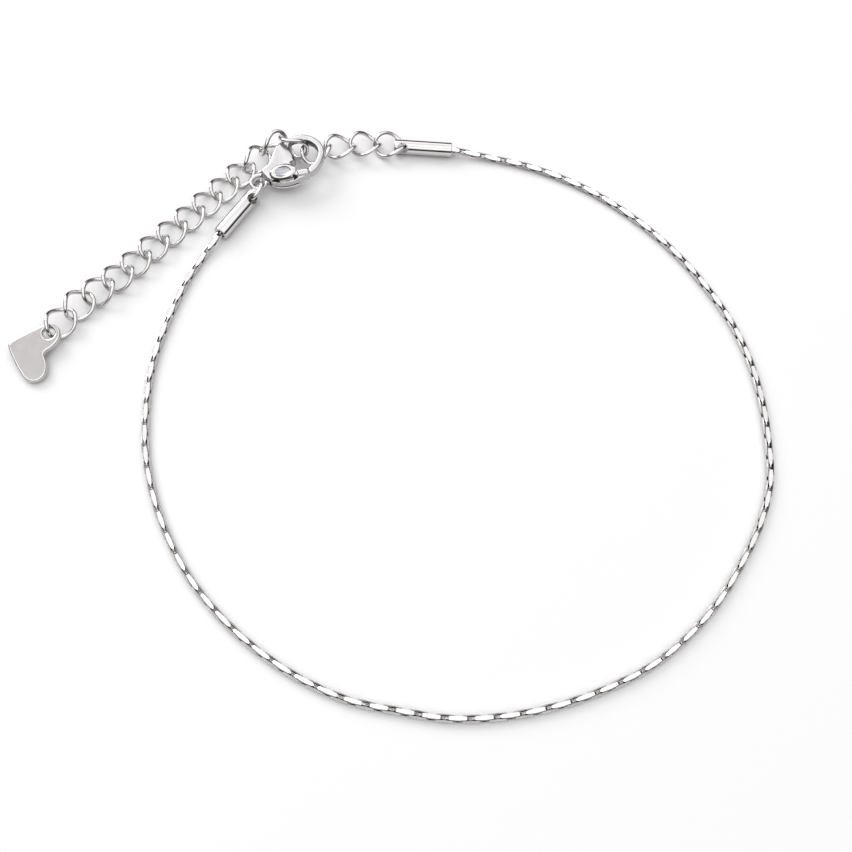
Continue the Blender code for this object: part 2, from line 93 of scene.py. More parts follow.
# The clasp, in its own frame with the eye at the origin and the arch towards +x
CLASP_EYE = Vector((-0.0192, 0.0272, 0.00155))
CLASP_HEADING = math.radians(39)
CLASP_PITCH = math.radians(8)
CLASP_UP = (-0.10816, -0.08758, 0.99027)
CLASP_TOP = 0.00095
CLASP_TOP_REACH = 0.00025
CLASP_TOP_ROUNDS = 6
ARCH_TOP = 0.000575
ARCH_TAPER_FROM = 0.0042
ARCH_TAPER_TO = 0.0058
# Middle and reach of the hook's inside, whose faces get painted shade
HOOK_CENTRE = Vector((0.0069, 0.0002, 0.0))
HOOK_REACH = 0.0029

# The lever's thumb pad, and the depths below its face where pressing, smoothing and the painted
# shade on its sides end
PAD_LENGTH = 0.0034
PAD_WIDTH = 0.0021
PAD_CENTRE = (0.00293, -0.00137, 0.00128)
PAD_TURN = math.radians(-22.5)
PAD_LEAN = math.radians(12)
PAD_PRESS_DEPTH = 0.00003
PAD_SMOOTH_DEPTH = 0.0001
PAD_SIDE_DEPTH = 0.0003
PAD_ROUNDS = 2

# The thumb pad's section from its middle to its rim: share of its half width, height in mm
PAD_SECTION = [
    (0.0, -0.07), (0.25, -0.055), (0.42, -0.01), (0.54, 0.06), (0.63, 0.14), (0.68, 0.17),
    (0.74, 0.18), (0.79, 0.17), (0.85, 0.125), (0.91, 0.07), (0.97, 0.01), (1.0, -0.02),
]
# Within this share of the pad, its dish gets a darker grey-lilac as a painted reflection
DISH_SHARE = 0.58

TAG_UP = (-0.02177, -0.13746, 0.99027)

# Grain of the fine skins over the clasp's body, its lever and the tag
BODY_VOXEL = 0.00005
LEVER_VOXEL = 0.00004
TAG_VOXEL = 0.00006

# How much of a normal lies along an axis that its face looks along: roughly, nearly, wholly
ROUGHLY_FACING = 0.6
NEARLY_FACING = 0.93
WHOLLY_FACING = 0.985

# Places in a piece's list of materials, after the first. The fine links' insides and edges, the
# hook's inside, the pad's sides and the tag's flat face hold darker steel that is painted shade,
# and the pad's dish holds a darker grey-lilac that is a painted reflection
CHAIN_INSIDE_PAINTED_SHADE, CHAIN_EDGE_PAINTED_SHADE = 1, 2
HOOK_INSIDE_PAINTED_SHADE = 1
PAD_SIDE_PAINTED_SHADE, PAD_DISH_PAINTED_REFLECTION = 1, 2
TAG_FACE_PAINTED_SHADE = 1

# Route of the fine chain between the tubes, clockwise from the right tube
CHAIN_ROUTE = [
    (0.0103, 0.0356), (0.0154, 0.0347), (0.0206, 0.0329), (0.0253, 0.0304), (0.0297, 0.0272),
    (0.0336, 0.0235), (0.0370, 0.0193), (0.0399, 0.0147), (0.0420, 0.0097), (0.0433, 0.0044),
    (0.0439, -0.0009), (0.0439, -0.0064), (0.0426, -0.0116), (0.0404, -0.0165), (0.0378, -0.0211),
    (0.0344, -0.0254), (0.0305, -0.0290), (0.0258, -0.0319), (0.0210, -0.0341), (0.0158, -0.0357),
    (0.0104, -0.0365), (0.0051, -0.0363), (-0.0003, -0.0357), (-0.0055, -0.0340),
    (-0.0103, -0.0315), (-0.0146, -0.0284), (-0.0185, -0.0246), (-0.0217, -0.0202),
    (-0.0242, -0.0155), (-0.0260, -0.0105), (-0.0270, -0.0052), (-0.0274, 0.0002),
    (-0.0270, 0.0054), (-0.0260, 0.0108), (-0.0247, 0.0150),
]

# How far short of a bore's bottom the chain ends
CHAIN_END_GAP = 0.0006

# How far the fine chain has rolled over where it runs towards +x, on the loop's far side, and
# the half width, as a share of the half height, of the corner that it then rests on
CHAIN_ROLL = math.radians(26)
ROLLED_CORNER = 0.57

# One strip of a fine link from its middle to its end: along in mm, then out from the axis and
# half width, both in mm on a chain of the gauge below
STRIP_STATIONS = [(0.0, 0.36, 0.32), (0.9, 0.36, 0.25), (1.08, 0.24, 0.10), (1.24, 0.09, 0.07)]
STATION_GAUGE = 0.86

# Section of a strip as shares of its half width and half thickness
STRIP_SECTION = [(-1.0, -1.0), (-0.78, 1.0), (0.78, 1.0), (1.0, -1.0)]

# The extender's links. The first hangs back in the tube's hole by its slack, and how low a link
# reaches is told by this many points on its line
LINK_PITCH = 0.003
LINK_TWIST = math.radians(-45)
LINK_COUNT = 18
FIRST_LINK_SLACK = 0.00028
FIRST_LINK_ROLL = math.radians(-8)
RESTING_POINTS = 16

# Route of the extender chain from the right tube to the tag, with its height
EXTENDER_ROUTE = [
    (-0.0066, 0.0356, 0.00085), (-0.0097, 0.0350, 0.00085), (-0.0127, 0.0343, 0.00095),
    (-0.0156, 0.0336, 0.0019), (-0.0184, 0.0335, 0.0015), (-0.0204, 0.0309, 0.0009),
    (-0.0238, 0.0258, 0.00085), (-0.0272, 0.0209, 0.00085), (-0.0307, 0.0159, 0.00085),
    (-0.0340, 0.0110, 0.00085), (-0.0373, 0.0069, 0.0009), (-0.0388, 0.0043, 0.0012),
    (-0.0403, 0.0017, 0.0013),
]

# Links that the clasp or the tag holds out of the route: place, then heading, pitch and roll
LINK_PLACES = {
    2: (-0.0068, 0.03525, 0.0012, 190, 4, 0),
    3: (-0.0099, 0.0344, 0.0012, 192, 3, 1),
    4: (-0.01275, 0.03305, 0.0014, 218, 2, 11),
    5: (-0.01575, 0.03315, 0.00205, 160, 22, 78),
    6: (-0.0184, 0.0329, 0.0022, 213, -31, -110),
    7: (-0.0201, 0.0303, 0.00175, 230, 0, -58),
    15: (-0.0336, 0.0116, 0.00095, 232, 0, -4),
    16: (-0.0354, 0.0092, 0.0012, 230, -5, -10),
    17: (-0.0373, 0.0069, 0.0013, 241, 5, -33),
    18: (-0.0388, 0.0043, 0.0013, 244, 0, -23),
}

# Grain of the steel's polish, in waves per metre
STEEL_GRAIN = 2600.0

# Colours of the room by the height of the direction, from the skirting to the ceiling
ROOM_COLOURS = [
    (0.0, (0.020, 0.012, 0.010)), (0.34, (0.035, 0.024, 0.020)), (0.48, (0.27, 0.24, 0.23)),
    (0.62, (0.94, 0.94, 0.95)), (0.76, (1.15, 1.15, 1.16)), (0.88, (0.88, 0.88, 0.88)),
    (1.0, (1.25, 1.25, 1.26)),
]

# Half the table's width, and the light at the upper left
TABLE_REACH = 2.0
KEY_LIGHT_PLACE = (-0.42, 0.38, 0.32)
KEY_LIGHT_SIZE = 0.4

# The camera, with its pitch below the horizontal and its roll in radians
CAMERA_PLACE = Vector((0.0047, -0.0647, 0.1204))
CAMERA_PITCH = 1.100731
CAMERA_ROLL = 0.104473
CAMERA_LENS = 49.99
CAMERA_SENSOR = 36.0
CAMERA_NEAREST = 0.005


class AnkletSizes(bpy.types.PropertyGroup):
    """Sizes of the finely modelled pieces."""

    chain_pitch: bpy.props.FloatProperty(
        name="Fine link pitch", description="Distance from one fine link to the next",
        default=0.00135, min=0.001, max=0.002, unit="LENGTH")
    chain_gauge: bpy.props.FloatProperty(
        name="Chain gauge", description="Outer width of the fine chain",
        default=0.00078, min=0.0006, max=0.0012, unit="LENGTH")
    strip_thickness: bpy.props.FloatProperty(
        name="Strip thickness", description="Thickness of a fine link's strip",
        default=0.00014, min=0.0001, max=0.0003, unit="LENGTH")
    link_wire: bpy.props.FloatProperty(
        name="Extender wire", description="Diameter of the extender links' wire",
        default=0.0005, min=0.0004, max=0.0006, unit="LENGTH")
    link_length: bpy.props.FloatProperty(
        name="Extender link length", description="Outer length of an extender link",
        default=0.0044, min=0.004, max=0.005, unit="LENGTH")
    link_width: bpy.props.FloatProperty(
        name="Extender link width", description="Outer width of an extender link",
        default=0.0038, min=0.0034, max=0.0042, unit="LENGTH")
    clasp_softness: bpy.props.IntProperty(
        name="Clasp softness", description="Rounds of smoothing on the clasp's cast edges",
        default=32, min=0, max=60)
    tag_softness: bpy.props.IntProperty(
        name="Tag softness", description="Rounds of smoothing on the tag's pressed edges",
        default=45, min=0, max=80)


class AnkletFinish(bpy.types.PropertyGroup):
    """Colours and polish of the steel and the light on it."""

    steel: bpy.props.FloatVectorProperty(
        name="Steel", description="Colour of the polished steel", subtype="COLOR", size=3,
        default=(0.60, 0.59, 0.588), min=0.0, max=1.0)
    polish: bpy.props.FloatProperty(
        name="Roughness", description="Roughness of the polished steel",
        default=0.09, min=0.0, max=0.5, subtype="FACTOR")
    table: bpy.props.FloatVectorProperty(
        name="Table", description="Colour of the table", subtype="COLOR", size=3,
        default=(0.70, 0.70, 0.70), min=0.0, max=1.0)
    key_power: bpy.props.FloatProperty(
        name="Key light", description="Power of the light from the upper left", unit="POWER",
        default=2.6, min=0.0, max=50.0)
    room: bpy.props.FloatProperty(
        name="Room", description="Brightness of the room around the table",
        default=1.74, min=0.0, max=4.0)


def smooth_route(route):
    """Read evenly spaced points from a smooth curve through the route, and give its length."""
    points = np.array([tuple(point) for point in route], dtype=float)
    before = 2 * points[0] - points[1]
    after = 2 * points[-1] - points[-2]
    padded = np.vstack([before, points, after])
    steps = np.linspace(0, 1, ROUTE_STEPS, endpoint=False)[:, None]
    fine = []
    for p0, p1, p2, p3 in zip(padded, padded[1:], padded[2:], padded[3:]):
        fine.append(0.5 * (2 * p1 + (p2 - p0) * steps
                           + (2 * p0 - 5 * p1 + 4 * p2 - p3) * steps ** 2
                           + (3 * p1 - p0 - 3 * p2 + p3) * steps ** 3))
    fine = np.vstack(fine + [padded[-2:-1]])
    reach = np.concatenate([[0], np.cumsum(np.linalg.norm(np.diff(fine, axis=0), axis=1))])
    wanted = np.linspace(0, reach[-1], ROUTE_SAMPLES)
    return np.stack([np.interp(wanted, reach, axis) for axis in fine.T], axis=1), reach[-1]


def along_route(route, distances, step):
    """Give the point and direction at each distance along a smooth curve through the route."""
    fine, length = smooth_route(route)
    reach = np.linspace(0, length, len(fine))
    places = []
    for distance in distances:
        here, ahead, back = (Vector([np.interp(distance + move, reach, axis) for axis in fine.T])
                             for move in (0, step, -step))
        places.append((here, (ahead - back).normalized()))
    return places


def pointing(heading, pitch=0.0):
    """Give the direction with a heading from +x and a pitch above the table."""
    flat = math.cos(pitch)
    return Vector((flat * math.cos(heading), flat * math.sin(heading), math.sin(pitch)))


def frame_along(direction, roll=0.0):
    """Make a rotation whose x axis is the direction, rolled about it from lying flat."""
    side = Vector((0, 0, 1)).cross(direction).normalized()
    flat = Matrix((direction, side, direction.cross(side))).transposed()
    return flat.to_4x4() @ Matrix.Rotation(roll, 4, "X")


def right_tube_matrix():
    """Place the right tube, its outer end at the origin of its own frame."""
    return Matrix.Translation(RIGHT_TUBE_END) @ frame_along(pointing(RIGHT_TUBE_HEADING))


def left_tube_matrix():
    """Place the left tube, whose outer end the ring holds a little up."""
    heading = pointing(LEFT_TUBE_HEADING, LEFT_TUBE_PITCH)
    return Matrix.Translation(LEFT_TUBE_END) @ frame_along(heading)


def clasp_matrix():
    """Place the clasp, its eye at the origin of its own frame."""
    return (Matrix.Translation(CLASP_EYE) @ Matrix.Rotation(CLASP_HEADING, 4, "Z")
            @ Matrix.Rotation(-CLASP_PITCH, 4, "Y"))


def new_object(name, work):
    """Turn a bmesh into an object of the scene."""
    mesh = bpy.data.meshes.new(name)
    work.to_mesh(mesh)
    work.free()
    thing = bpy.data.objects.new(name, mesh)
    bpy.context.scene.collection.objects.link(thing)
    return thing


def take_shape(thing, *helpers):
    """Read an object's shape with its modifiers applied, and drop it with its helpers."""
    bpy.context.view_layer.update()
    mesh = bpy.data.meshes.new_from_object(
        thing.evaluated_get(bpy.context.evaluated_depsgraph_get()))
    for spent in (thing, *helpers):
        bpy.data.objects.remove(spent, do_unlink=True)
    work = bmesh.new()
    work.from_mesh(mesh)
    return work


def finish_piece(name, work, materials, replaced, body="anklet", sharp=None):
    """Turn a bmesh into a piece that rides on a body and stands for CAD nodes.

    Edges over the sharp angle stay sharp. With none given all are smooth, and with 0 all flat.
    """
    bmesh.ops.translate(work, verts=work.verts, vec=SHIFT)
    piece = new_object(name, work)
    for material in materials:
        piece.data.materials.append(material)
    if sharp != 0:
        piece.data.shade_smooth()
    if sharp:
        piece.data.set_sharp_from_angle(angle=sharp)
    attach(piece, body)
    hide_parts(*replaced)


def add_node(nodes, kind, values):
    """Add a shader node with constants on its sockets."""
    node = nodes.new(kind)
    for socket, value in values.items():
        node.inputs[socket].default_value = value
    return node


def steel_material(name, roughness, tint=(1.0, 1.0, 1.0), wave=0.004):
    """Make steel with an uneven polish and a faint ripple, whose wave is given in mm."""
    finish = bpy.context.scene.anklet_finish
    steel = bpy.data.materials.new(name)
    steel.use_nodes = True
    nodes, links = steel.node_tree.nodes, steel.node_tree.links
    shader = nodes["Principled BSDF"]
    shader.inputs["Metallic"].default_value = 1.0
    colour = [channel * share for channel, share in zip(finish.steel, tint)]
    shader.inputs["Base Color"].default_value = (*colour, 1.0)
    place = nodes.new("ShaderNodeTexCoord")
    cloud = add_node(nodes, "ShaderNodeTexNoise", {"Scale": STEEL_GRAIN / 4, "Detail": 3.0})
    polish = add_node(nodes, "ShaderNodeMapRange", {
        "From Min": 0.35, "From Max": 0.7, "To Min": roughness * 0.7, "To Max": roughness * 1.6})
    ripple = add_node(nodes, "ShaderNodeTexNoise", {"Scale": STEEL_GRAIN / 3, "Detail": 1.0})
    bump = add_node(nodes, "ShaderNodeBump", {"Strength": 0.25, "Distance": wave * MM})
    links.new(place.outputs["Object"], cloud.inputs["Vector"])
    links.new(place.outputs["Object"], ripple.inputs["Vector"])
    links.new(cloud.outputs["Fac"], polish.inputs["Value"])
    links.new(polish.outputs["Result"], shader.inputs["Roughness"])
    links.new(ripple.outputs["Fac"], bump.inputs["Height"])
    links.new(bump.outputs["Normal"], shader.inputs["Normal"])
    return steel


def sweep(work, sections):
    """Bridge a closed round of like sections, each given as points, into a tube."""
    rings = []
    for points in sections:
        verts = [work.verts.new(point) for point in points]
        rings.append([work.edges.new(pair) for pair in zip(verts, verts[1:] + verts[:1])])
    for here, there in zip(rings, rings[1:] + rings[:1]):
        bmesh.ops.bridge_loops(work, edges=here + there)


def softened(node, up, voxel, rounds):
    """Give a CAD node's shape a fine even skin, with its edges rounded as by casting."""
    work = bmesh.new()
    work.from_mesh(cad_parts[node].data)
    bmesh.ops.remove_doubles(work, verts=work.verts, dist=MERGE_DISTANCE)
    bmesh.ops.translate(work, verts=work.verts, vec=-SHIFT)
    level = Vector(up).rotation_difference(Vector((0, 0, 1))).to_matrix().to_4x4()
    bmesh.ops.transform(work, matrix=level, verts=work.verts)
    pattern = new_object(node + "_pattern", work)
    skin = bpy.data.objects.new(node + "_skin", pattern.data.copy())
    bpy.context.scene.collection.objects.link(skin)
    even = skin.modifiers.new("even skin", "REMESH")
    even.mode = "VOXEL"
    even.voxel_size = voxel
    fit = skin.modifiers.new("fit to the pattern", "SHRINKWRAP")
    fit.target = pattern
    polish = skin.modifiers.new("tumbled edges", "SMOOTH")
    polish.factor = 0.5
    polish.iterations = rounds
    work = take_shape(skin, pattern)
    bmesh.ops.transform(work, matrix=level.inverted(), verts=work.verts)
    return work


class ANKLET_OT_fine_chain(bpy.types.Operator):
    """Make the fine chain's links, every other one turned on its side"""

    bl_idname = "anklet.fine_chain"
    bl_label = "Fine chain"

    def execute(self, context):
        sizes = context.scene.anklet_sizes
        height = sizes.chain_gauge / 2
        route = self.whole_route(height)
        length = smooth_route(route)[1]
        count = int((length - sizes.chain_gauge) / sizes.chain_pitch)
        start = (length - (count - 1) * sizes.chain_pitch) / 2
        distances = [start + sizes.chain_pitch * index for index in range(count)]
        places = along_route(route, distances, sizes.chain_pitch / 2)
        sections = self.strip_sections(sizes)
        work = bmesh.new()
        for index, (place, direction) in enumerate(places):
            roll = CHAIN_ROLL * max(direction.x, 0)
            place.z = max(place.z, height * (math.cos(roll) + ROLLED_CORNER * math.sin(roll)))
            turn = frame_along(direction, roll + math.pi / 2 * (index % 2))
            verts = self.fine_link(work, sections)
            bmesh.ops.transform(work, matrix=Matrix.Translation(place) @ turn, verts=verts)
        polish = context.scene.anklet_finish.polish
        finish_piece("fine_chain_links", work, [
            steel_material("chain_steel_polish", polish * 0.8, (1.3, 1.3, 1.3)),
            # The links' inner faces get near-black steel and their side edges get darker steel,
            # both as painted shade
            steel_material("chain_steel_inside_painted_shade", 0.5, (0.05, 0.042, 0.04)),
            steel_material("chain_steel_edge_painted_shade", 0.3, (0.62, 0.61, 0.6)),
        ], ("fine_chain",), sharp=0)
        return {"FINISHED"}

    def whole_route(self, height):
        """Join the chain's route on the table to the two tubes' bores."""
        deep = TUBE_LENGTH - TUBE_BORE_DEPTH + CHAIN_END_GAP
        inside = [Vector((x, 0, 0)) for x in (deep, (deep + TUBE_LENGTH) / 2, TUBE_LENGTH)]
        right = [right_tube_matrix() @ point for point in inside]
        left = [left_tube_matrix() @ point for point in reversed(inside)]
        return right + [Vector((x, y, height)) for x, y in CHAIN_ROUTE] + left

    def strip_sections(self, sizes):
        """Give the sections of one link's strip round its loop, in the link's own frame."""
        (x, out, wide), *side = STRIP_STATIONS
        back = side[::-1]
        stations = [(x, out, wide)] + side + [(x, -out, wide) for x, out, wide in back]
        stations += [(x, -out, wide)]
        stations += [(-x, -out, wide) for x, out, wide in side]
        stations += [(-x, out, wide) for x, out, wide in back]
        scale = sizes.chain_gauge / STATION_GAUGE
        half = sizes.strip_thickness / 2
        centres = [Vector((x * MM, 0, out * scale)) for x, out, wide in stations]
        sections = []
        for at, (x, out, wide) in enumerate(stations):
            tangent = (centres[(at + 1) % len(centres)] - centres[at - 1]).normalized()
            outward = Vector((-tangent.z, 0, tangent.x))
            sections.append([centres[at] + Vector((0, u * wide * scale, 0)) + outward * (v * half)
                             for u, v in STRIP_SECTION])
        return sections

    def fine_link(self, work, sections):
        """Add one link in its own frame, with painted shade on its inside faces and on its edges.
        """
        verts_before, faces_before = len(work.verts), len(work.faces)
        sweep(work, sections)
        work.verts.ensure_lookup_table()
        work.faces.ensure_lookup_table()
        faces = work.faces[faces_before:]
        bmesh.ops.recalc_face_normals(work, faces=faces)
        for face in faces:
            middle = face.calc_center_median()
            # Side faces get painted shade as dark edges, and inward faces get painted shade as
            # dark insides
            if abs(face.normal.y) > ROUGHLY_FACING:
                face.material_index = CHAIN_EDGE_PAINTED_SHADE
            elif face.normal.x * middle.x + face.normal.z * middle.z < 0:
                face.material_index = CHAIN_INSIDE_PAINTED_SHADE
        return work.verts[verts_before:]


class ANKLET_OT_end_tubes(bpy.types.Operator):
    """Make the two end tubes, each with its bore and its cross hole"""

    bl_idname = "anklet.end_tubes"
    bl_label = "End tubes"

    def execute(self, context):
        steel = steel_material("tube_steel_polish", context.scene.anklet_finish.polish)
        for node, matrix, inset, tilt in (
                ("end_tube_right", right_tube_matrix(), RIGHT_HOLE_INSET, RIGHT_HOLE_TILT),
                ("end_tube_left", left_tube_matrix(), LEFT_HOLE_INSET, RING_TILT)):
            work = self.bored_tube(node, inset, tilt)
            bmesh.ops.transform(work, matrix=matrix, verts=work.verts)
            finish_piece(node + "_polished", work, [steel], (node,),
                         sharp=math.radians(35))
        return {"FINISHED"}

    def bar(self, name, diameter, length, matrix, rounding=0.0):
        """Make a round bar, upright before the matrix places it, as a loose object."""
        work = bmesh.new()
        bmesh.ops.create_cone(work, cap_ends=True, segments=BAR_SIDES, radius1=diameter / 2,
                              radius2=diameter / 2, depth=length)
        if rounding:
            rims = [edge for edge in work.edges
                    if abs(edge.verts[0].co.z - edge.verts[1].co.z) < LEVEL_DISTANCE]
            bmesh.ops.bevel(work, geom=rims, offset=rounding, offset_type="OFFSET",
                            affect="EDGES", segments=ROUNDING_STEPS, profile=0.5, material=-1)
        bmesh.ops.transform(work, matrix=matrix, verts=work.verts)
        return new_object(name, work)

    def bored_tube(self, name, inset, tilt):
        """Cut a tube's blind bore and its cross hole."""
        along = Matrix.Rotation(math.pi / 2, 4, "Y")
        tube = self.bar(name + "_bar", TUBE_DIAMETER, TUBE_LENGTH,
                        Matrix.Translation((TUBE_LENGTH / 2, 0, 0)) @ along, TUBE_ROUNDING)
        bore = self.bar(name + "_bore", TUBE_BORE_DIAMETER, 2 * TUBE_BORE_DEPTH,
                        Matrix.Translation((TUBE_LENGTH, 0, 0)) @ along)
        hole = self.bar(name + "_hole", TUBE_HOLE_DIAMETER, 2 * TUBE_DIAMETER,
                        Matrix.Translation((inset, 0, 0))
                        @ Matrix.Rotation(tilt - math.pi / 2, 4, "X"))
        for cutter in (bore, hole):
            step = tube.modifiers.new(cutter.name, "BOOLEAN")
            step.operation = "DIFFERENCE"
            step.solver = "EXACT"
            step.object = cutter
        return take_shape(tube, bore, hole)


class ANKLET_OT_extender(bpy.types.Operator):
    """Make the extender's open twisted links, each through the next"""

    bl_idname = "anklet.extender"
    bl_label = "Extender chain"

    segments: bpy.props.IntProperty(name="Segments", description="Sections round each link",
                                    default=56, min=16, max=96)
    sides: bpy.props.IntProperty(name="Sides", description="Sides of the wire", default=14,
                                 min=8, max=24)

    def execute(self, context):
        sizes = context.scene.anklet_sizes
        radius = sizes.link_wire / 2
        half_length = (sizes.link_length - sizes.link_wire) / 2
        half_width = (sizes.link_width - sizes.link_wire) / 2
        line = self.wire_line(self.segments, 0.0, half_length, half_width)
        coarse = self.wire_line(RESTING_POINTS, 0.5, half_length, half_width)
        hole = right_tube_matrix() @ Vector((RIGHT_HOLE_INSET, 0, 0))
        first = hole - Vector((half_length - FIRST_LINK_SLACK, 0, 0))
        distances = [LINK_PITCH * index for index in range(LINK_COUNT)]
        places = along_route([first] + [Vector(point) for point in EXTENDER_ROUTE], distances,
                             sizes.link_wire)
        work = bmesh.new()
        for number, (place, direction) in enumerate(places, start=1):
            matrix = self.link_matrix(number, place, direction, coarse, radius)
            sweep(work, self.wire_sections(matrix, line, radius))
        bmesh.ops.recalc_face_normals(work, faces=work.faces)
        steel = steel_material("extender_steel_polish", context.scene.anklet_finish.polish)
        nodes = [f"extender_link_{number:02d}" for number in range(1, LINK_COUNT + 1)]
        finish_piece("extender_links", work, [steel], nodes)
        return {"FINISHED"}

    def wire_line(self, count, offset, half_length, half_width):
        """Give points on a link's centre line, an oval twisted about its length."""
        points = []
        for index in range(count):
            turn = 2 * math.pi * (index + offset) / count
            x = half_length * math.cos(turn)
            y = half_width * math.sin(turn)
            twist = LINK_TWIST * x / half_length
            points.append(Vector((x, y * math.cos(twist), y * math.sin(twist))))
        return points

    def link_matrix(self, number, place, direction, coarse, radius):
        """Place a link, lifted where its wire would reach below the table."""
        roll = FIRST_LINK_ROLL if number == 1 else 0.0
        if number in LINK_PLACES:
            *place, heading, pitch, roll = LINK_PLACES[number]
            direction = pointing(math.radians(heading), math.radians(pitch))
            roll = math.radians(roll)
        turn = frame_along(direction, roll)
        lowest = min((turn @ point).z for point in coarse)
        place = Vector(place)
        place.z = max(place.z, radius - lowest)
        return Matrix.Translation(place) @ turn

    def wire_sections(self, matrix, line, radius):
        """Give the wire's round sections along a placed link."""
        path = [matrix @ point for point in line]
        up = matrix.to_3x3() @ Vector((0, 0, 1))
        angles = [2 * math.pi * step / self.sides for step in range(self.sides)]
        sections = []
        for index, point in enumerate(path):
            tangent = (path[(index + 1) % len(path)] - path[index - 1]).normalized()
            side = tangent.cross(up).normalized()
            top = side.cross(tangent)
            sections.append([point + (side * math.cos(angle) + top * math.sin(angle)) * radius
                             for angle in angles])
        return sections


class ANKLET_OT_clasp_ring(bpy.types.Operator):
    """Make the ring through the left tube and the clasp's eye"""

    bl_idname = "anklet.clasp_ring"
    bl_label = "Clasp ring"

    def execute(self, context):
        hole = left_tube_matrix() @ Vector((LEFT_HOLE_INSET, 0, 0))
        across = (CLASP_EYE - hole).normalized()
        start = hole - across * RING_SLACK_IN_TUBE
        end = CLASP_EYE + across * RING_SLACK_IN_EYE
        radius = (end - start).length / 2
        matrix = Matrix.Translation((start + end) / 2) @ frame_along(across, -RING_TILT)
        angles = [2 * math.pi * side / RING_SIDES for side in range(RING_SIDES)]
        circle = [Vector((radius + RING_WIRE / 2 * math.cos(angle), 0,
                          RING_WIRE / 2 * math.sin(angle))) for angle in angles]
        turns = [Matrix.Rotation(2 * math.pi * step / RING_STEPS, 4, "Z")
                 for step in range(RING_STEPS)]
        work = bmesh.new()
        sweep(work, [[matrix @ turn @ point for point in circle] for turn in turns])
        bmesh.ops.recalc_face_normals(work, faces=work.faces)
        steel = steel_material("ring_steel_polish", context.scene.anklet_finish.polish)
        finish_piece("clasp_ring_polished", work, [steel], ("clasp_ring",))
        return {"FINISHED"}


class ANKLET_OT_clasp(bpy.types.Operator):
    """Make the clasp's cast body and its sprung lever"""

    bl_idname = "anklet.clasp"
    bl_label = "Clasp"

    def execute(self, context):
        rounds = context.scene.anklet_sizes.clasp_softness
        polish = context.scene.anklet_finish.polish
        body = softened("clasp_body", CLASP_UP, BODY_VOXEL, rounds)
        self.finish_body(body)
        finish_piece("clasp_body_polished", body, [
            steel_material("clasp_steel_polish", polish * 1.8, (0.85, 0.85, 0.86)),
            # Faces inside the hook get darker, bluish-grey steel as painted shade
            steel_material("clasp_steel_inner_painted_shade", 0.35, (0.36, 0.36, 0.4)),
        ], ("clasp_body",))
        lever = softened("clasp_lever", CLASP_UP, LEVER_VOXEL, rounds // 4)
        self.press_pad(lever)
        finish_piece("clasp_lever_polished", lever, [
            steel_material("lever_steel_polish", polish, (0.92, 0.92, 0.93)),
            # The pad's sides get near-black steel as painted shade, and its dish gets a darker
            # grey-lilac as a painted reflection
            steel_material("lever_steel_side_painted_shade", 0.4, (0.22, 0.22, 0.19)),
            steel_material("lever_steel_dish_painted_reflection", 0.22, (0.6, 0.6, 0.66)),
        ], ("clasp_lever",), body="lever")
        return {"FINISHED"}

    def finish_body(self, work):
        """Even out the faces that taper to the arch, and give the hook's inside rougher steel with
        painted shade.
        """
        place = clasp_matrix()
        bmesh.ops.transform(work, matrix=place.inverted(), verts=work.verts)
        work.normal_update()
        for vert in work.verts:
            if abs(vert.normal.z) < NEARLY_FACING:
                continue
            share = (vert.co.x - ARCH_TAPER_FROM) / (ARCH_TAPER_TO - ARCH_TAPER_FROM)
            share = min(max(share, 0.0), 1.0)
            top = CLASP_TOP - (CLASP_TOP - ARCH_TOP) * share * share * (3 - 2 * share)
            if abs(abs(vert.co.z) - top) < CLASP_TOP_REACH:
                vert.co.z = math.copysign(top, vert.co.z)
        for _ in range(CLASP_TOP_ROUNDS):
            bmesh.ops.smooth_vert(work, verts=work.verts, factor=0.5, use_axis_z=True)
        # Faces inside the hook get painted shade
        for face in work.faces:
            inwards = HOOK_CENTRE - face.calc_center_median()
            inwards.z = 0
            inner = (abs(face.normal.z) < ROUGHLY_FACING and inwards.length < HOOK_REACH
                     and face.normal.dot(inwards) > 0)
            face.material_index = HOOK_INSIDE_PAINTED_SHADE if inner else 0
        bmesh.ops.transform(work, matrix=place, verts=work.verts)

    def press_pad(self, work):
        """Press the thumb pad's dish and raise its rim, give its sides rougher steel with painted
        shade, and give its dish a painted reflection.
        """
        place = (clasp_matrix() @ Matrix.Translation(PAD_CENTRE)
                 @ Matrix.Rotation(PAD_TURN, 4, "Z") @ Matrix.Rotation(PAD_LEAN, 4, "X"))
        bmesh.ops.transform(work, matrix=place.inverted(), verts=work.verts)
        shares, heights = zip(*PAD_SECTION)
        for vert in work.verts:
            share = self.share_of_pad(vert.co)
            if share < 1 and vert.co.z > -PAD_PRESS_DEPTH:
                vert.co.z = np.interp(share, shares, heights) * MM
        pad = [vert for vert in work.verts if vert.co.z > -PAD_SMOOTH_DEPTH]
        for _ in range(PAD_ROUNDS):
            bmesh.ops.smooth_vert(work, verts=pad, factor=0.5, use_axis_x=True, use_axis_y=True,
                                  use_axis_z=True)
        # The dish gets a painted reflection, and the sides below its rim get painted shade
        for face in work.faces:
            middle = face.calc_center_median()
            if self.share_of_pad(middle) < DISH_SHARE and middle.z > -PAD_SMOOTH_DEPTH:
                face.material_index = PAD_DISH_PAINTED_REFLECTION
            elif -PAD_SIDE_DEPTH < middle.z < PAD_PRESS_DEPTH:
                face.material_index = PAD_SIDE_PAINTED_SHADE
        bmesh.ops.transform(work, matrix=place, verts=work.verts)

    def share_of_pad(self, point):
        """Tell how far out on the oval pad a point is, with 0 at its middle and 1 at its rim."""
        return math.hypot(2 * point.x / PAD_LENGTH, 2 * point.y / PAD_WIDTH)


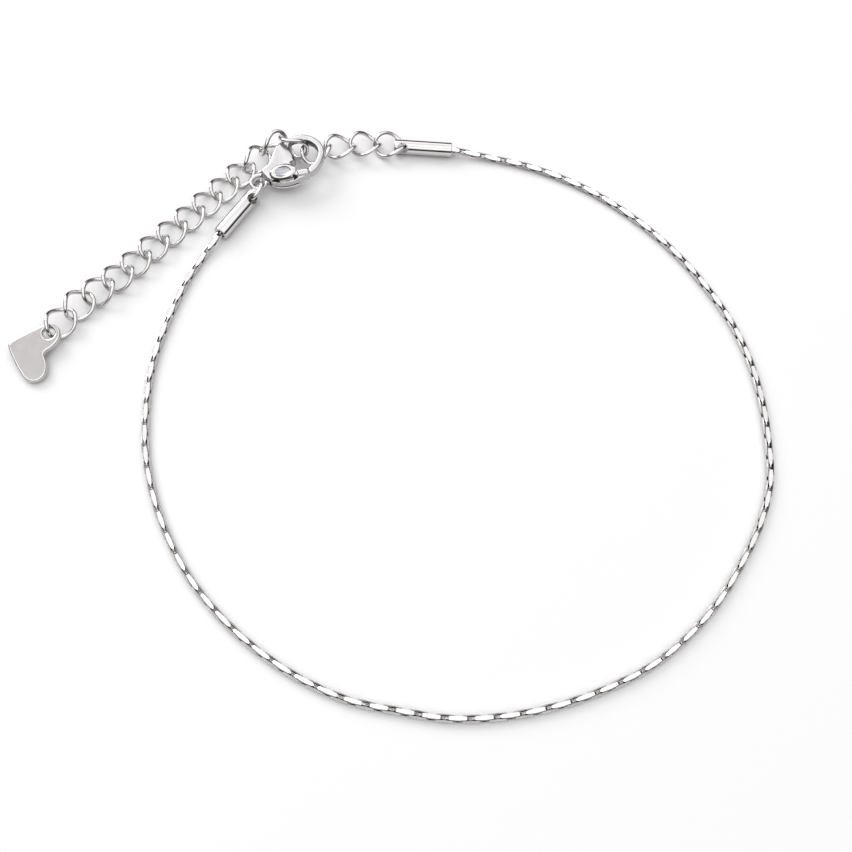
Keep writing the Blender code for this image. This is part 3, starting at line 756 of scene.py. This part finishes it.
class ANKLET_OT_heart_tag(bpy.types.Operator):
    """Make the pressed heart tag, its stamped face left bare"""

    bl_idname = "anklet.heart_tag"
    bl_label = "Heart tag"

    def execute(self, context):
        work = softened("heart_tag", TAG_UP, TAG_VOXEL, context.scene.anklet_sizes.tag_softness)
        up = Vector(TAG_UP)
        work.normal_update()
        # The flat face gets rougher steel and a darker colour; the darker colour is painted shade
        # against the bright rim
        for face in work.faces:
            flat = abs(face.normal.dot(up)) > WHOLLY_FACING
            face.material_index = TAG_FACE_PAINTED_SHADE if flat else 0
        polish = context.scene.anklet_finish.polish
        finish_piece("heart_tag_polished", work, [
            steel_material("tag_steel_polish", polish, (0.96, 0.95, 0.955)),
            # The flat face's darker colour is painted shade
            steel_material("tag_steel_face_painted_shade", polish * 2.4, (0.58, 0.565, 0.56), wave=0.03),
        ], ("heart_tag",))
        return {"FINISHED"}


class ANKLET_OT_stage(bpy.types.Operator):
    """Set the white table, the soft light and the camera"""

    bl_idname = "anklet.stage"
    bl_label = "Stage"

    def execute(self, context):
        finish = context.scene.anklet_finish
        self.lay_table(finish.table)
        self.light_room(finish.room)
        self.soft_light("key_light", KEY_LIGHT_PLACE, KEY_LIGHT_SIZE, finish.key_power)
        self.set_camera(context.scene)
        context.scene.view_settings.view_transform = "Standard"
        return {"FINISHED"}

    def lay_table(self, colour):
        """Lay the table's matt surface under the anklet."""
        work = bmesh.new()
        bmesh.ops.create_grid(work, x_segments=1, y_segments=1, size=TABLE_REACH)
        paper = bpy.data.materials.new("table_white")
        paper.use_nodes = True
        shader = paper.node_tree.nodes["Principled BSDF"]
        shader.inputs["Base Color"].default_value = (*colour, 1.0)
        shader.inputs["Roughness"].default_value = 0.9
        shader.inputs["Specular IOR Level"].default_value = 0.0
        table = new_object("table", work)
        table.data.materials.append(paper)

    def light_room(self, strength):
        """Light the room from its ceiling, with dark walls low down that outline the steel."""
        world = bpy.data.worlds.new("room")
        bpy.context.scene.world = world
        world.use_nodes = True
        nodes, links = world.node_tree.nodes, world.node_tree.links
        place = nodes.new("ShaderNodeTexCoord")
        split = nodes.new("ShaderNodeSeparateXYZ")
        ramp = nodes.new("ShaderNodeValToRGB")
        stops = ramp.color_ramp.elements
        while len(stops) < len(ROOM_COLOURS):
            stops.new(0.5)
        for stop, (height, colour) in zip(stops, ROOM_COLOURS):
            stop.position = height
            stop.color = (*colour, 1.0)
        patches = add_node(nodes, "ShaderNodeTexNoise", {"Scale": 1.7, "Detail": 1.0})
        shade = add_node(nodes, "ShaderNodeMapRange", {
            "From Min": 0.35, "From Max": 0.6, "To Min": 0.72, "To Max": 1.12})
        mix = nodes.new("ShaderNodeMix")
        mix.data_type = "RGBA"
        mix.blend_type = "MULTIPLY"
        mix.inputs["Factor"].default_value = 1.0
        air = nodes["Background"]
        air.inputs["Strength"].default_value = strength
        links.new(place.outputs["Generated"], split.inputs["Vector"])
        links.new(place.outputs["Generated"], patches.inputs["Vector"])
        links.new(split.outputs["Z"], ramp.inputs["Fac"])
        links.new(patches.outputs["Fac"], shade.inputs["Value"])
        links.new(ramp.outputs["Color"], mix.inputs["A"])
        links.new(shade.outputs["Result"], mix.inputs["B"])
        links.new(mix.outputs["Result"], air.inputs["Color"])

    def soft_light(self, name, place, size, power):
        """Add a square soft light that faces the anklet."""
        light = bpy.data.lights.new(name, "AREA")
        light.shape = "SQUARE"
        light.size = size
        light.energy = power
        lamp = bpy.data.objects.new(name, light)
        bpy.context.scene.collection.objects.link(lamp)
        lamp.location = place
        aim = -Vector(place)
        lamp.rotation_euler = aim.to_track_quat("-Z", "Y").to_euler()

    def set_camera(self, scene):
        """Set the camera where the photograph was taken from, pitched and rolled."""
        data = bpy.data.cameras.new("camera")
        data.lens = CAMERA_LENS
        data.sensor_width = CAMERA_SENSOR
        data.clip_start = CAMERA_NEAREST
        camera = bpy.data.objects.new("camera", data)
        scene.collection.objects.link(camera)
        right = Vector((1, 0, 0))
        up = Vector((0, math.sin(CAMERA_PITCH), math.cos(CAMERA_PITCH)))
        back = Vector((0, -math.cos(CAMERA_PITCH), math.sin(CAMERA_PITCH)))
        turned_right = math.cos(CAMERA_ROLL) * right + math.sin(CAMERA_ROLL) * up
        turned_up = math.cos(CAMERA_ROLL) * up - math.sin(CAMERA_ROLL) * right
        turn = Matrix((turned_right, turned_up, back)).transposed()
        camera.matrix_world = Matrix.Translation(CAMERA_PLACE + SHIFT) @ turn.to_4x4()
        scene.camera = camera


class ANKLET_PT_panel(bpy.types.Panel):
    """Lists the anklet's pieces, sizes and finish"""

    bl_idname = "ANKLET_PT_panel"
    bl_label = "Anklet"
    bl_space_type = "VIEW_3D"
    bl_region_type = "UI"
    bl_category = "Anklet"

    def draw(self, context):
        layout = self.layout
        for operator in PIECE_OPERATORS:
            layout.operator(operator.bl_idname)
        for group in (context.scene.anklet_sizes, context.scene.anklet_finish):
            box = layout.box()
            for name in group.__annotations__:
                box.prop(group, name)


PIECE_OPERATORS = (
    ANKLET_OT_fine_chain, ANKLET_OT_end_tubes, ANKLET_OT_extender, ANKLET_OT_clasp_ring,
    ANKLET_OT_clasp, ANKLET_OT_heart_tag, ANKLET_OT_stage,
)
CLASSES = (AnkletSizes, AnkletFinish) + PIECE_OPERATORS + (ANKLET_PT_panel,)


def register():
    """Add the classes and the settings to Blender."""
    for item in CLASSES:
        bpy.utils.register_class(item)
    bpy.types.Scene.anklet_sizes = bpy.props.PointerProperty(type=AnkletSizes)
    bpy.types.Scene.anklet_finish = bpy.props.PointerProperty(type=AnkletFinish)


def unregister():
    """Take the settings and the classes away again."""
    del bpy.types.Scene.anklet_finish
    del bpy.types.Scene.anklet_sizes
    for item in reversed(CLASSES):
        bpy.utils.unregister_class(item)


def main():
    """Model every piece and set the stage."""
    register()
    bpy.ops.anklet.fine_chain()
    bpy.ops.anklet.end_tubes()
    bpy.ops.anklet.extender()
    bpy.ops.anklet.clasp_ring()
    bpy.ops.anklet.clasp()
    bpy.ops.anklet.heart_tag()
    bpy.ops.anklet.stage()


if __name__ == "__main__":
    main()
